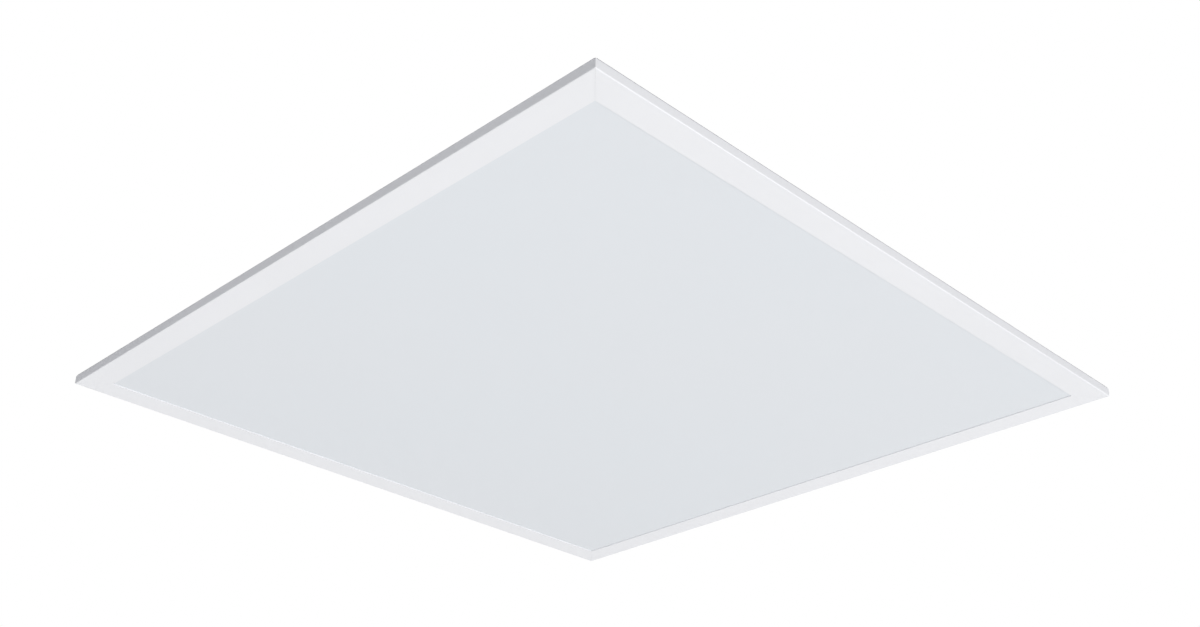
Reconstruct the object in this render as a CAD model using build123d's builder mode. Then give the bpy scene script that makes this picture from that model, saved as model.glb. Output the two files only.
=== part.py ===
"""Edge-lit LED ceiling panel for a 600 mm grid, with its driver on the back.

+Z points up into the ceiling void and the lit face looks down. The origin is the centre of
the face, on the plane that rests on the grid. Lengths are in millimetres.
"""

import os
from math import cos, radians, sin, sqrt

from build123d import *

# ---------------------------------------------------------------- driving dimensions

panel_size = 595.0  # across the frame, for a 600 mm grid
face_border = 22.0  # visible width of the frame's face
edge_depth = 7.5  # height of the panel's edge, the cover's sheet included
lip = 0.6  # thickness of the face and of the edge round the window
wall = 1.4  # outer wall of the profile
channel_width = 7.0  # hollow that takes the corner keys
inner_wall = 1.2
flange_thickness = 1.0
cover_thickness = 0.6
mitre_gap = 0.06  # hairline between two mitred sides
edge_radius = 0.8  # front outer edge
lip_radius = 0.45  # edge round the window
rear_chamfer = 0.4
cover_inset = 0.2  # of the cover's edge, from the frame's outer face

diffuser_thickness = 1.5
guide_thickness = 2.5
reflector_thickness = 0.25

half = panel_size / 2
cover_top = edge_depth
cover_bottom = cover_top - cover_thickness
flange_bottom = cover_bottom - flange_thickness
wall_face = wall + channel_width + inner_wall  # inwards from the outer edge
screw_line = wall + channel_width / 2
screw_edge = half - screw_line  # the same line, from the centre
inside = half - wall_face  # inner wall of the frame from the centre
guide_bottom = lip + diffuser_thickness
guide_top = guide_bottom + guide_thickness
reflector_top = guide_top + reflector_thickness

# fixings along each side, from the side's middle
key_screw_station = 270.0
mid_screw_station = 95.0
cover_stations = (-key_screw_station, -mid_screw_station, mid_screw_station, key_screw_station)
suspension_station = 245.0
key_leg = 66.0
m3_hole = 1.5
m3_clearance = 1.7
m4_tap_hole = 1.65
m4_clearance = 2.25

# light strips on the left and right sides
tape_thickness = 0.15
board_thickness = 1.0
board_height = 5.0
board_length = 2 * inside - 0.8
led_count = 72
led_pitch = 7.8
led_length = 4.0
led_height = 1.4
led_depth = 0.8
led_gap = 0.25
board_bottom = lip + 0.25
guide_edge_gap = 2.4  # room for pads and wires beside the guide

board_face = inside - tape_thickness - board_thickness
guide_half_x = board_face - led_depth - led_gap
guide_half_y = inside - guide_edge_gap
led_level = guide_bottom + guide_thickness / 2

wire_radius = 0.6
wire_line = inside - 0.15 - wire_radius

# driver on the back, in its own plane: x along the driver, z up from the cover
driver_y = 205.0
body_half = 62.0  # to the end of the closed middle part
driver_half = 104.8  # to the outer face of an end cap
driver_half_width = 26.0
driver_height = 28.0
driver_split = 14.0  # joint between base and lid
shell = 2.0
base_wall = 2.2
cap_shell = 1.8
cap_end = 1.4
cap_end_gap = 0.4
cap_side_gap = 0.3
end_wall = 2.4
low_wall = 8.0
hinge_radius = 3.2
hinge_offset = 3.8  # hinge axis to the end of the middle part
pin_radius = 1.0
pin_play = 0.05
lug_inner, lug_outer = 12.3, 19.7
lug_play = 0.3
board_level = 5.0
board_depth = 1.6
cable_level = 10.0
mains_hole = 4.7
lead_radius = 2.5

driver_plane = Plane((0, driver_y, cover_top))
board_top = board_level + board_depth
base_end = driver_half - cap_end - cap_end_gap  # outer face of the base's end wall
hinge_x = body_half + hinge_offset
hinge_z = driver_height - hinge_radius

# lead from the driver to the panel
outlet_x = 150.0
outlet_front, outlet_back = 262.0, 284.5
outlet_half_width = 9.0
lead_low = cover_top + lead_radius + 0.3  # height of the lead where it lies on the cover
spigot_y = 279.5

standing = (Align.CENTER, Align.CENTER, Align.MIN)  # on its point
hanging = (Align.CENTER, Align.CENTER, Align.MAX)  # below its point

os.makedirs("parts", exist_ok=True)


def save(piece, label):
    """Label a finished piece and write its file."""
    piece.part.label = label
    export_step(piece.part, f"parts/{label}.step")


def turned(turn, height=0.0):
    """Horizontal plane at a height, turned about the panel's centre."""
    return Plane.XY.rotated((0, 0, turn)).offset(height)


def side_plane(turn):
    """Plane across one side of the frame: local x runs inwards from the outer edge, local y up."""
    along = Vector(cos(radians(turn)), sin(radians(turn)), 0)
    inward = Vector(-sin(radians(turn)), cos(radians(turn)), 0)
    return Plane(origin=(along + inward) * -half, x_dir=inward, z_dir=along)


# ---------------------------------------------------------------- frame


def frame_side(turn, suspended):
    """One mitred length of the hollow aluminium profile; turn 0 is the front side."""
    with BuildPart() as side:
        with BuildSketch(side_plane(turn)) as profile:
            Polygon(
                (0, 0),
                (face_border, 0),
                (face_border, lip),
                (wall_face, lip),
                (wall_face, cover_bottom),
                (0, cover_bottom),
            )
            corners = profile.vertices()
            fillet(corners.sort_by_distance((0, 0))[0], edge_radius)
            fillet(corners.sort_by_distance((face_border, 0))[0], lip_radius)
            chamfer(corners.sort_by_distance((0, cover_bottom))[0], rear_chamfer)
            with Locations((screw_line, (lip + flange_bottom) / 2)):
                Rectangle(channel_width, flange_bottom - lip, mode=Mode.SUBTRACT)
        extrude(amount=panel_size)
        short = mitre_gap / 2 * sqrt(2)
        with BuildSketch(turned(turn)):
            Polygon((-half + short, -half), (half - short, -half), (0, -short))
        extrude(amount=cover_bottom, mode=Mode.INTERSECT)
        with BuildSketch(turned(turn, flange_bottom)):
            with Locations(*[(s, -screw_edge) for s in cover_stations]):
                Circle(m3_hole)
            if suspended:
                with Locations((-suspension_station, -screw_edge), (suspension_station, -screw_edge)):
                    Circle(m4_clearance)
        extrude(amount=flange_thickness, mode=Mode.SUBTRACT)
    return side


for name, turn, suspended in (
    ("frame_front", 0, False),
    ("frame_right", 90, True),
    ("frame_rear", 180, False),
    ("frame_left", 270, True),
):
    save(frame_side(turn, suspended), name)

# L-shaped keys in the hollow of the profile join the mitres
key_play = 0.1
with BuildPart() as corner_keys:
    for turn in (0, 90, 180, 270):
        near = wall + key_play - half
        far = wall + channel_width - key_play - half
        leg_end = key_leg - half
        with BuildSketch(turned(turn, lip + key_play)) as key_plan:
            Polygon(
                (near, near),
                (leg_end, near),
                (leg_end, far),
                (far, far),
                (far, leg_end),
                (near, leg_end),
            )
            chamfer(key_plan.vertices().filter_by(lambda v: max(v.X, v.Y) > leg_end - 1), 1.2)
            for station, radius in ((-key_screw_station, m3_hole), (-suspension_station, m4_tap_hole)):
                with Locations((station, -screw_edge), (-screw_edge, station)):
                    Circle(radius, mode=Mode.SUBTRACT)
        extrude(amount=flange_bottom - lip - 2 * key_play)
save(corner_keys, "corner_keys")

# ---------------------------------------------------------------- back cover

bead_height = 1.6
bead_width = 15.0
bead_taper = 40.0
bead_inner = bead_width - 1.6
cover_half = half - cover_inset
diagonal_start, diagonal_end = 105.0, 345.0
side_bead_middle, side_bead_length = 215.0, 170.0
stud_x, stud_y = 45.0, 32.5  # driver's fixing studs, in the driver's plane
stud_radius = 2.0

diagonal_middle, diagonal_length = (diagonal_start + diagonal_end) / 2, diagonal_end - diagonal_start
cover_screw_places = []
for station in cover_stations:
    cover_screw_places += [(station, -screw_edge), (station, screw_edge)]
    cover_screw_places += [(-screw_edge, station), (screw_edge, station)]
beads = [(turn, diagonal_middle, diagonal_length, 0) for turn in (45, 135, 225, 315)]
beads += [(turn, side_bead_middle, side_bead_length, 90) for turn in (0, 180, 270)]


def bead_sketch(turn, height, middle, length, spin, width):
    """Plan of one stiffening bead, with rounded ends."""
    with BuildSketch(turned(turn, height)) as plan:
        with Locations((middle, 0)):
            SlotOverall(length - bead_width + width, width, rotation=spin)
    return plan


with BuildPart() as back_cover:
    with BuildSketch(Plane.XY.offset(cover_bottom)):
        RectangleRounded(2 * cover_half, 2 * cover_half, 1.5)
    extrude(amount=cover_thickness)
    for turn, middle, length, spin in beads:
        outer_plan = bead_sketch(turn, cover_top, middle, length, spin, bead_width)
        extrude(outer_plan.sketch, amount=bead_height, taper=bead_taper)
    for turn, middle, length, spin in beads:
        inner_plan = bead_sketch(turn, cover_bottom, middle, length, spin, bead_inner)
        extrude(inner_plan.sketch, amount=bead_height, taper=bead_taper, mode=Mode.SUBTRACT)
    with BuildSketch(Plane.XY.offset(cover_bottom)):
        with Locations(*cover_screw_places):
            Circle(m3_clearance)
        with GridLocations(2 * screw_edge, 2 * suspension_station, 2, 2):
            Circle(m4_clearance)
        with Locations((outlet_x, spigot_y)):
            RectangleRounded(10.2, 6.2, 1.0)
        with Locations((-stud_x, driver_y + stud_y), (stud_x, driver_y - stud_y)):
            Circle(stud_radius)
    extrude(amount=cover_thickness, mode=Mode.SUBTRACT)
save(back_cover, "back_cover")

head_radius, head_height, screw_length = 2.8, 1.7, 5.0
recess_width, recess_reach, recess_depth = 0.7, 3.0, 1.0


def cross_head_screws(places, level, length, shank, tip_play=0.0):
    """Pan-head screws with a cross recess, their heads seated at one level."""
    with BuildPart() as screws:
        for x, y in places:
            with Locations((x, y, level)):
                Cylinder(shank, length - tip_play, align=hanging)
            with Locations((x, y, level)):
                Cylinder(head_radius, head_height, align=standing)
        rims = screws.edges().filter_by(GeomType.CIRCLE).group_by(Axis.Z)[-1]
        fillet(rims, 1.1)
        for x, y in places:
            with Locations((x, y, level + head_height)):
                Box(recess_reach, recess_width, 2 * recess_depth, mode=Mode.SUBTRACT)
                Box(recess_width, recess_reach, 2 * recess_depth, mode=Mode.SUBTRACT)
    return screws


save(cross_head_screws(cover_screw_places, cover_top, screw_length, m3_hole - 0.05), "cover_screws")

# ---------------------------------------------------------------- optical stack

with BuildPart() as diffuser_plate:
    with BuildSketch(Plane.XY.offset(lip)):
        Rectangle(2 * guide_half_x, 2 * guide_half_y)
    extrude(amount=diffuser_thickness)
save(diffuser_plate, "diffuser_plate")

with BuildPart() as light_guide_plate:
    with BuildSketch(Plane.XY.offset(guide_bottom)):
        Rectangle(2 * guide_half_x, 2 * guide_half_y)
    extrude(amount=guide_thickness)
save(light_guide_plate, "light_guide_plate")

with BuildPart() as reflector_sheet:
    with BuildSketch(Plane.XY.offset(guide_top)):
        Rectangle(2 * guide_half_x, 2 * guide_half_y)
    extrude(amount=reflector_thickness)
save(reflector_sheet, "reflector_sheet")

foam_notch = 22.0
with BuildPart() as foam_sheet:
    with BuildSketch(Plane.XY.offset(reflector_top)):
        Rectangle(2 * guide_half_x, 2 * guide_half_y)
        with Locations((outlet_x, guide_half_y)):
            Rectangle(foam_notch, 2 * (guide_half_y - outlet_back + foam_notch / 2), mode=Mode.SUBTRACT)
    extrude(amount=cover_bottom - reflector_top)
save(foam_sheet, "foam_sheet")

# silicone pads hold the guide off the frame at front and rear; the rear ones straddle the wires
pad_length, pad_station, pad_ledge = 22.0, 190.0, 3.5
with BuildPart() as guide_pads:
    pad_middle = inside - guide_edge_gap / 2
    with Locations((-pad_station, -pad_middle, guide_bottom), (pad_station, -pad_middle, guide_bottom)):
        Box(pad_length, guide_edge_gap, guide_thickness, align=standing)
    with Locations((-pad_station, pad_middle, lip), (pad_station, pad_middle, lip)):
        Box(pad_length, guide_edge_gap, cover_bottom - lip, align=standing)
    with Locations((0, inside, pad_ledge)):
        Box(
            panel_size,
            2 * (inside - wire_line + wire_radius + 0.1),
            cover_bottom,
            align=standing,
            mode=Mode.SUBTRACT,
        )
save(guide_pads, "guide_pads")

# ---------------------------------------------------------------- light strips

for name, side in (("left", -1), ("right", 1)):
    with BuildPart() as led_board:
        with Locations((side * (board_face + board_thickness / 2), 0, board_bottom + board_height / 2)):
            Box(board_thickness, board_length, board_height)
    save(led_board, f"led_board_{name}")
    with BuildPart() as leds:
        with BuildSketch(Plane((side * board_face, 0, led_level), x_dir=(0, 1, 0), z_dir=(-side, 0, 0))):
            with GridLocations(led_pitch, 1, led_count, 1):
                Rectangle(led_length, led_height)
        extrude(amount=led_depth)
    save(leds, f"leds_{name}")

with BuildPart() as thermal_tapes:
    with BuildSketch(Plane.XY.offset(board_bottom)):
        with GridLocations(2 * inside - tape_thickness, 1, 2, 1):
            Rectangle(tape_thickness, board_length)
    extrude(amount=board_height)
save(thermal_tapes, "thermal_tapes")

# the two strips are in series: out along the rear side, across, and back
upper_wire, lower_wire = cover_bottom - wire_radius - 0.1, 4.4
wire_reach = board_face
exit_spread = 1.5


def feed_wire(side):
    """Wire from the lead outlet to one strip, along the rear side of the frame."""
    x = outlet_x + side * exit_spread
    with BuildPart() as wire:
        with BuildLine() as route:
            FilletPolyline(
                (x, spigot_y, cover_top + 1.6),
                (x, spigot_y, upper_wire),
                (x, wire_line, upper_wire),
                (side * wire_reach, wire_line, upper_wire),
                radius=1.3,
            )
        with BuildSketch(Plane(origin=route.line @ 0, z_dir=route.line % 0)):
            Circle(wire_radius)
        sweep()
    return wire


save(feed_wire(1), "positive_wire")
save(feed_wire(-1), "negative_wire")

with BuildPart() as jumper_wire:
    with BuildSketch(Plane.YZ.offset(-wire_reach)):
        with Locations((wire_line, lower_wire)):
            Circle(wire_radius)
    extrude(amount=2 * wire_reach)
save(jumper_wire, "jumper_wire")

# ---------------------------------------------------------------- lead to the driver

lead_stop = 86.0  # where the lead's sheath ends inside the driver
lead_route = [
    (lead_stop, driver_y, cover_top + cable_level),
    (114.0, driver_y, cover_top + cable_level),
    (137.0, 211.0, cover_top + cable_level - 4.0),
    (outlet_x, 231.0, lead_low),
    (outlet_x, outlet_front + 7.0, lead_low),
]


def widest_arcs(points, share=0.45):
    """Largest fillet radius at each inner point of a route, from the shorter run beside it."""
    radii = []
    for before, here, after in zip(points, points[1:], points[2:]):
        run_in, run_out = Vector(here) - Vector(before), Vector(after) - Vector(here)
        half_turn = radians(run_in.get_angle(run_out)) / 2
        radii.append(share * min(run_in.length, run_out.length) * cos(half_turn) / sin(half_turn))
    return radii


lead_arcs = widest_arcs(lead_route)
print("dc_lead radii:", [round(radius, 1) for radius in lead_arcs])
with BuildPart() as dc_lead:
    with BuildLine() as lead_line:
        FilletPolyline(*lead_route, radius=lead_arcs)
    with BuildSketch(Plane(origin=lead_line.line @ 0, z_dir=lead_line.line % 0)):
        Circle(lead_radius)
    sweep()
save(dc_lead, "dc_lead")

# moulded outlet: the lead goes in from the front and its wires drop through the spigot
outlet_height = 8.5
with BuildPart() as lead_outlet:
    with BuildSketch(Plane.XY.offset(cover_top)):
        with Locations((outlet_x, (outlet_front + outlet_back) / 2)):
            RectangleRounded(2 * outlet_half_width, outlet_back - outlet_front, 2.5)
    extrude(amount=outlet_height)
    fillet(lead_outlet.faces().sort_by(Axis.Z)[-1].edges(), 1.5)
    with BuildSketch(Plane.XY.offset(cover_bottom)):
        with Locations((outlet_x, spigot_y)):
            RectangleRounded(10.0, 6.0, 1.0)
    extrude(amount=cover_thickness)
    with BuildSketch(Plane((outlet_x, outlet_front, lead_low), x_dir=(1, 0, 0), z_dir=(0, -1, 0))):
        Circle(4.4)
    extrude(amount=6.0, taper=8)
    with BuildSketch(Plane.XY.offset(cover_top), mode=Mode.PRIVATE) as under_collar:
        with Locations((outlet_x, outlet_front)):
            Rectangle(30, 30)
    extrude(under_collar.sketch, amount=-6.0, mode=Mode.SUBTRACT)
    with BuildSketch(Plane((outlet_x, outlet_front - 6.0, lead_low), x_dir=(1, 0, 0), z_dir=(0, 1, 0))):
        Circle(lead_radius + 0.02)
    extrude(amount=13.0, mode=Mode.SUBTRACT)
    with BuildSketch(Plane.XY.offset(cover_bottom)):
        with Locations((outlet_x, spigot_y)):
            Rectangle(6.0, 3.6)
    extrude(amount=cover_thickness + 2.4, mode=Mode.SUBTRACT)
save(lead_outlet, "lead_outlet")

# adhesive saddle over the lead
saddle_y, saddle_length, saddle_foot, saddle_wall = 245.0, 9.0, 9.0, 1.2
with BuildPart() as lead_saddle:
    saddle_start = (outlet_x, saddle_y - saddle_length / 2, cover_top)
    with BuildSketch(Plane(saddle_start, x_dir=(-1, 0, 0), z_dir=(0, 1, 0))):
        with Locations((0, lead_low - cover_top)):
            Circle(lead_radius + 0.1 + saddle_wall)
        with Locations((0, saddle_wall / 2)):
            Rectangle(2 * saddle_foot, saddle_wall)
        with Locations((0, lead_low - cover_top)):
            Circle(lead_radius + 0.1, mode=Mode.SUBTRACT)
        with Locations((0, -5)):
            Rectangle(40, 10, mode=Mode.SUBTRACT)
    extrude(amount=saddle_length)
save(lead_saddle, "lead_saddle")

# ---------------------------------------------------------------- driver: base and lid

boss_x, boss_y, boss_radius = 55.0, 19.5, 3.2
post_x, post_y, post_radius = 74.0, 19.0, 2.4
clamp_x, clamp_y = 92.0, 11.5
clamp_boss_radius, clamp_boss_top = 3.2, 10.6
ear_length, ear_thickness = 14.0, 3.0
rib_height = 13.0

with BuildPart(driver_plane) as driver_base:
    with BuildSketch(driver_plane):
        RectangleRounded(2 * base_end, 2 * driver_half_width, 2.0)
    extrude(amount=shell)
    # feet with slots for the fixing studs
    with BuildSketch(driver_plane):
        for side in (-1, 1):
            with Locations((side * stud_x, -side * stud_y)):
                RectangleRounded(ear_length, 2 * (stud_y - driver_half_width) + 8, 3.0)
    extrude(amount=ear_thickness)
    # low walls all round, and tall ones along the middle
    with BuildSketch(driver_plane):
        RectangleRounded(2 * base_end, 2 * driver_half_width, 2.0)
        offset(amount=-base_wall, mode=Mode.SUBTRACT)
    extrude(amount=low_wall)
    with BuildSketch(driver_plane):
        for side in (-1, 1):
            with Locations((0, side * (driver_half_width - base_wall / 2))):
                Rectangle(2 * body_half, base_wall)
    extrude(amount=driver_split)
    # end walls, and inner ribs that the caps close over
    rib_y = driver_half_width - cap_shell - cap_side_gap
    with BuildSketch(driver_plane):
        for side in (-1, 1):
            with Locations((side * (base_end - end_wall / 2), 0)):
                Rectangle(end_wall, 2 * rib_y)
    extrude(amount=driver_height - cap_shell - cap_end_gap)
    rib_length = base_end - body_half - 4.0
    with BuildSketch(driver_plane):
        for side in (-1, 1):
            for edge in (-1, 1):
                with Locations((side * (base_end - rib_length / 2), edge * (rib_y - 0.7))):
                    Rectangle(rib_length, 1.4)
    extrude(amount=rib_height)
    # bosses: lid screws, board posts and cable clamps
    with Locations((-boss_x, boss_y, 0), (boss_x, -boss_y, 0)):
        Cylinder(boss_radius, driver_split, align=standing)
    with GridLocations(2 * post_x, 2 * post_y, 2, 2):
        Cylinder(post_radius, board_level, align=standing)
    with GridLocations(2 * clamp_x, 2 * clamp_y, 2, 2):
        Cylinder(clamp_boss_radius, clamp_boss_top, align=standing)
    # saddle rib under each cable
    for side, hole in ((-1, mains_hole), (1, lead_radius)):
        with Locations((side * clamp_x, 0, 0)):
            Box(3.0, 14.0, cable_level - hole, align=standing)
    # cable entries, each with a short collar inside
    collar = 3.6
    for side, hole in ((-1, mains_hole), (1, lead_radius + 0.02)):
        inner_face = side * (base_end - end_wall)
        entry = Plane(
            (inner_face, driver_y, cover_top + cable_level), x_dir=(0, 1, 0), z_dir=(-side, 0, 0)
        )
        with BuildSketch(entry):
            Circle(hole + 1.6)
        extrude(amount=collar)
        with BuildSketch(entry.offset(-end_wall - 1)):
            Circle(hole)
        extrude(amount=end_wall + collar + 2, mode=Mode.SUBTRACT)
    # screw holes and stud slots
    with Locations((-boss_x, boss_y, driver_split), (boss_x, -boss_y, driver_split)):
        Cylinder(1.25, 9.0, align=hanging, mode=Mode.SUBTRACT)
    with Locations(*[(x, y, clamp_boss_top) for x in (-clamp_x, clamp_x) for y in (-clamp_y, clamp_y)]):
        Cylinder(1.25, 7.0, align=hanging, mode=Mode.SUBTRACT)
    with BuildSketch(driver_plane):
        with Locations((-stud_x, stud_y), (stud_x, -stud_y)):
            SlotOverall(6.5, 4.5)
    extrude(amount=ear_thickness, mode=Mode.SUBTRACT)
    # snap ridges on the end walls
    with Locations((-base_end, 0, 20.0), (base_end, 0, 20.0)):
        Box(0.6, 12.0, 1.2)
save(driver_base, "driver_base")

partition_bottom = 8.6
column_radius = 4.3
with BuildPart(driver_plane) as driver_lid:
    with BuildSketch(driver_plane.offset(driver_split)):
        Rectangle(2 * body_half, 2 * driver_half_width)
    extrude(amount=driver_height - driver_split)
    top_edges = driver_lid.faces().sort_by(Axis.Z)[-1].edges().filter_by(Axis.X)
    fillet(top_edges, 1.6)
    with BuildSketch(driver_plane.offset(driver_split)):
        Rectangle(2 * (body_half - shell), 2 * (driver_half_width - shell))
    extrude(amount=driver_height - driver_split - shell, mode=Mode.SUBTRACT)
    # partitions reach down to the board
    with BuildSketch(driver_plane.offset(partition_bottom)):
        for side in (-1, 1):
            with Locations((side * (body_half - shell / 2), 0)):
                Rectangle(shell, 2 * (driver_half_width - base_wall - 0.3))
    extrude(amount=driver_split - partition_bottom)
    # screw columns over the base's bosses
    with Locations((-boss_x, boss_y, driver_split), (boss_x, -boss_y, driver_split)):
        Cylinder(column_radius, driver_height - driver_split - 1, align=standing)
    # hinge lugs at both ends
    for side in (-1, 1):
        for edge in (-1, 1):
            lug_start = edge * (lug_inner if edge > 0 else lug_outer)
            lug_plane = Plane((0, driver_y + lug_start, cover_top), x_dir=(1, 0, 0), z_dir=(0, -1, 0))
            with BuildSketch(lug_plane):
                with Locations((side * hinge_x, hinge_z)):
                    Circle(hinge_radius - 0.2)
                with Locations((side * (hinge_x - hinge_offset / 2 - 0.1), hinge_z)):
                    Rectangle(hinge_offset + 0.2, 2 * (hinge_radius - 0.2))
                with Locations((side * hinge_x, hinge_z)):
                    Circle(pin_radius, mode=Mode.SUBTRACT)
            extrude(amount=-(lug_outer - lug_inner))
    # counterbored screw holes, label recess and grip ribs
    with Locations((-boss_x, boss_y, driver_height), (boss_x, -boss_y, driver_height)):
        Cylinder(1.7, 40, mode=Mode.SUBTRACT)
        Cylinder(3.1, 2 * 2.6, mode=Mode.SUBTRACT)
    with BuildSketch(driver_plane.offset(driver_height)):
        RectangleRounded(84.0, 34.0, 1.5)
    extrude(amount=-0.35, mode=Mode.SUBTRACT)
save(driver_lid, "driver_lid")

with BuildPart(driver_plane) as rating_label:
    with BuildSketch(driver_plane.offset(driver_height - 0.35)):
        RectangleRounded(82.0, 32.0, 1.0)
    extrude(amount=0.15)
save(rating_label, "rating_label")

lid_screw_places = [(-boss_x, driver_y + boss_y), (boss_x, driver_y - boss_y)]
lid_screw_seat = cover_top + driver_height - 2.6
lid_screws = cross_head_screws(lid_screw_places, lid_screw_seat, 18.0, 1.2)
save(lid_screws, "lid_screws")

# ---------------------------------------------------------------- driver: hinged end caps

skirt_bottom = low_wall + 0.7
skirt_reach = 2.6  # how far the side skirts pass the hinge
cap_end_bottom = 17.0


def end_cap(side):
    """Cap over one wiring space; side -1 is the mains end."""
    outer = driver_half
    across = Plane((0, driver_y + driver_half_width, cover_top), x_dir=(1, 0, 0), z_dir=(0, -1, 0))
    with BuildPart(driver_plane) as cap:
        with BuildSketch(across):
            with Locations((side * (outer + hinge_x) / 2, (driver_height + skirt_bottom) / 2)):
                Rectangle(outer - hinge_x, driver_height - skirt_bottom)
            with Locations((side * (hinge_x - skirt_reach / 2), (hinge_z + skirt_bottom) / 2)):
                Rectangle(skirt_reach, hinge_z - skirt_bottom)
            with Locations((side * hinge_x, hinge_z)):
                Circle(hinge_radius)
        extrude(amount=2 * driver_half_width)
        end_corner = (side * outer, driver_y, cover_top + driver_height)
        fillet(cap.edges().filter_by(Axis.Y).sort_by_distance(end_corner)[0], 2.0)
        # hollow it, leaving the barrel round the hinge pin
        cavity_half = driver_half_width - cap_shell
        with BuildSketch(across.offset(cap_shell)):
            with Locations((side * (outer - cap_end) / 2, (driver_height - cap_shell) / 2)):
                Rectangle(outer - cap_end, driver_height - cap_shell)
            with Locations((side * hinge_x, hinge_z)):
                Circle(hinge_radius, mode=Mode.SUBTRACT)
        extrude(amount=2 * cavity_half, mode=Mode.SUBTRACT)
        # opening below the end skirt for the cable
        with BuildSketch(driver_plane):
            with Locations((side * outer, 0)):
                Rectangle(2 * cap_end + 1, 2 * cavity_half)
        extrude(amount=cap_end_bottom, mode=Mode.SUBTRACT)
        # notches for the lid's lugs, and the pin's hole
        with BuildSketch(driver_plane.offset(skirt_bottom)):
            for edge in (-1, 1):
                with Locations((side * (hinge_x - 0.4), edge * (lug_inner + lug_outer) / 2)):
                    Rectangle(2 * hinge_radius + 2, lug_outer - lug_inner + 2 * lug_play)
        extrude(amount=driver_height, mode=Mode.SUBTRACT)
        with BuildSketch(across.offset(-1)):
            with Locations((side * hinge_x, hinge_z)):
                Circle(pin_radius + pin_play)
        extrude(amount=2 * driver_half_width + 2, mode=Mode.SUBTRACT)
        # snap window and thumb notch in the end skirt
        with Locations((side * outer, 0, 20.0)):
            Box(4 * cap_end, 13.0, 2.2, mode=Mode.SUBTRACT)
        with Locations((side * outer, 0, cap_end_bottom)):
            Box(4 * cap_end, 8.0, 2.0, mode=Mode.SUBTRACT)
        # grip ribs near the outer end
        with BuildSketch(driver_plane.offset(driver_height)):
            with Locations((side * (outer - 12.0), 0)):
                with GridLocations(2.4, 1, 4, 1):
                    SlotOverall(30.0, 1.0, rotation=90)
        extrude(amount=0.4)
    return cap


save(end_cap(-1), "mains_cap")
save(end_cap(1), "led_cap")

for name, side in (("mains_cap_pin", -1), ("led_cap_pin", 1)):
    with BuildPart() as cap_pin:
        pin_end = (side * hinge_x, driver_y + driver_half_width - 0.5, cover_top + hinge_z)
        with BuildSketch(Plane(pin_end, z_dir=(0, -1, 0))):
            Circle(pin_radius)
        extrude(amount=2 * driver_half_width - 1)
        chamfer(cap_pin.edges().filter_by(GeomType.CIRCLE), 0.2)
    save(cap_pin, name)

# ---------------------------------------------------------------- driver: cable clamps and fixings

clamp_depth, clamp_bar_height = 7.0, 4.2
clamp_gap = 0.2


def cable_clamp(side, cable_radius, bar_bottom):
    """Bar that two screws draw down on a cable."""
    with BuildPart(driver_plane) as clamp:
        clamp_face = (side * clamp_x - clamp_depth / 2, driver_y, cover_top)
        with BuildSketch(Plane(clamp_face, x_dir=(0, 1, 0), z_dir=(1, 0, 0))):
            with Locations((0, bar_bottom + clamp_bar_height / 2)):
                RectangleRounded(2 * clamp_y + 9.0, clamp_bar_height, 1.0)
            with Locations((0, cable_level)):
                Circle(cable_radius + 0.1, mode=Mode.SUBTRACT)
        extrude(amount=clamp_depth)
        with Locations(*[(side * clamp_x, y, bar_bottom) for y in (-clamp_y, clamp_y)]):
            Cylinder(1.6, 4 * clamp_bar_height, mode=Mode.SUBTRACT)
    return clamp


mains_bar = clamp_boss_top + clamp_gap
lead_bar = clamp_boss_top + clamp_gap
save(cable_clamp(-1, 4.0, mains_bar), "mains_cable_clamp")
save(cable_clamp(1, lead_radius, lead_bar), "lead_clamp")

clamp_places = [(x, driver_y + y) for x in (-clamp_x, clamp_x) for y in (-clamp_y, clamp_y)]
clamp_screws = cross_head_screws(clamp_places, cover_top + mains_bar + clamp_bar_height, 9.5, 1.2)
save(clamp_screws, "clamp_screws")

stud_places = [(-stud_x, driver_y + stud_y), (stud_x, driver_y - stud_y)]
stud_height = 9.0
with BuildPart() as mounting_studs:
    for x, y in stud_places:
        with Locations((x, y, cover_bottom)):
            Cylinder(stud_radius, stud_height + cover_thickness, align=standing)
    chamfer(mounting_studs.edges().filter_by(GeomType.CIRCLE).group_by(Axis.Z)[-1], 0.4)
save(mounting_studs, "mounting_studs")

nut_seat = cover_top + ear_thickness
with BuildPart() as stud_nuts:
    for x, y in stud_places:
        with BuildSketch(Plane.XY.offset(nut_seat)):
            with Locations((x, y)):
                Circle(4.9)
        extrude(amount=0.9)
        with BuildSketch(Plane.XY.offset(nut_seat + 0.9)):
            with Locations((x, y)):
                RegularPolygon(3.5, 6, major_radius=False)
        extrude(amount=2.8)
        with Locations((x, y, nut_seat)):
            Cylinder(stud_radius + 0.02, 20, mode=Mode.SUBTRACT)
save(stud_nuts, "stud_nuts")

# ---------------------------------------------------------------- driver: circuit board and parts

board_half_x, board_half_y = 83.0, 21.8
with BuildPart(driver_plane) as driver_board:
    with BuildSketch(driver_plane.offset(board_level)):
        RectangleRounded(2 * board_half_x, 2 * board_half_y, 1.5)
        with Locations((-boss_x, boss_y), (boss_x, -boss_y)):
            Circle(boss_radius + 0.3, mode=Mode.SUBTRACT)
        with Locations((-boss_x, board_half_y), (boss_x, -board_half_y)):
            Rectangle(2 * boss_radius + 0.6, 5.0, mode=Mode.SUBTRACT)
    extrude(amount=board_depth)
save(driver_board, "driver_board")

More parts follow.
